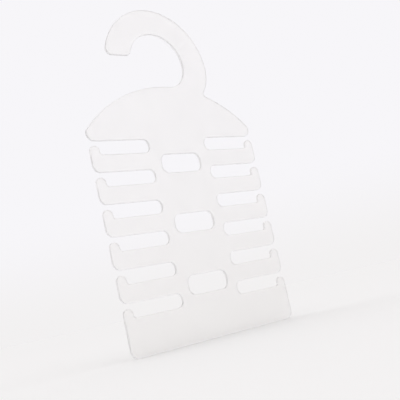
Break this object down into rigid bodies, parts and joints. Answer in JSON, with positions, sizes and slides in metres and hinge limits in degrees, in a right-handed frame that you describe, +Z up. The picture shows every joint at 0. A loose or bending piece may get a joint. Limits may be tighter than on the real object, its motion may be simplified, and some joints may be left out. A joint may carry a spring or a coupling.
{
  "type": "tie hanger",
  "caption": "Flat frosted-plastic tie hanger: an open hook over a curved shoulder, and a spine with rows of side slots whose arms end in raised tips.",
  "frame": {"origin": "the point under the top of the hook's bowl that bears on the wardrobe rail, on the centre line of the sheet and halfway through its thickness", "axes": "+Z up, along the spine towards the hook; +X to the right of someone facing the front, so the hook opens to -X; the front faces -Y, through the sheet's thickness"},
  "size_m": [0.204, 0.003, 0.338],
  "materials": {
    "frosted_plastic": "frosted, see-through plastic sheet: light passes, but what lies behind it is blurred"
  },
  "bodies": {
    "root": {"hook": "frosted_plastic", "shoulder": "frosted_plastic", "left_rail": "frosted_plastic", "right_rail": "frosted_plastic", "bar_1": "frosted_plastic", "bar_2": "frosted_plastic", "bar_3": "frosted_plastic", "bar_4": "frosted_plastic", "left_arm_1": "frosted_plastic", "right_arm_1": "frosted_plastic", "left_arm_2": "frosted_plastic", "right_arm_2": "frosted_plastic", "left_arm_3": "frosted_plastic", "right_arm_3": "frosted_plastic", "left_arm_4": "frosted_plastic", "right_arm_4": "frosted_plastic", "left_arm_5": "frosted_plastic", "right_arm_5": "frosted_plastic", "left_arm_6": "frosted_plastic", "right_arm_6": "frosted_plastic"}
  },
  "joints": []
}
